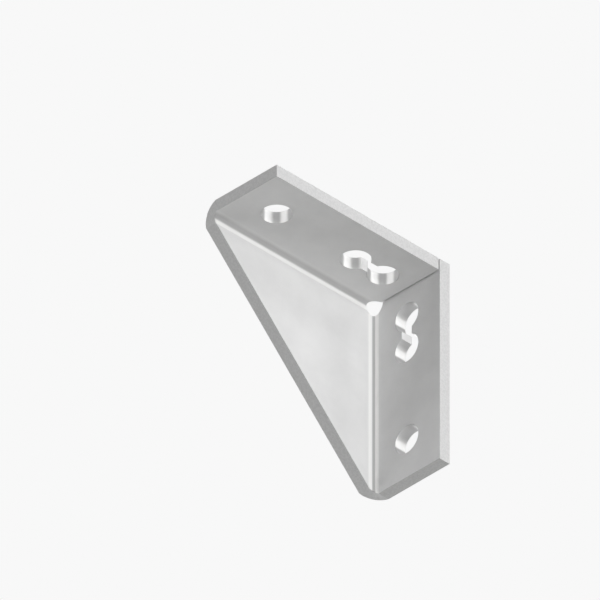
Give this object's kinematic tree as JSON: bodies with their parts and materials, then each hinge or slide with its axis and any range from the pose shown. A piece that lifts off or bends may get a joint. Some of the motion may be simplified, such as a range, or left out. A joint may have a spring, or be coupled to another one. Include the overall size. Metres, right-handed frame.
{
  "type": "strut angle fitting",
  "caption": "Right-angle strut fitting folded from steel plate: bolt flanges square to each other, joined by a triangular web, with round and joined bolt holes and a relief hole in the corner.",
  "frame": {"origin": "heel of the fitting: the outer edge where the two bearing faces meet, on the line of the bolt holes", "axes": "+Z is the outward normal of the upper flange's bearing face, +X the outward normal of the upright flange's bearing face, and +Y points from the bolt holes to the web; the upper flange runs to -X and the upright flange to -Z"},
  "size_m": [0.105, 0.046, 0.105],
  "materials": {
    "plated_steel": "bright zinc plating on folded steel plate, satin"
  },
  "bodies": {
    "root": {"angle_fitting": "plated_steel"}
  },
  "joints": []
}
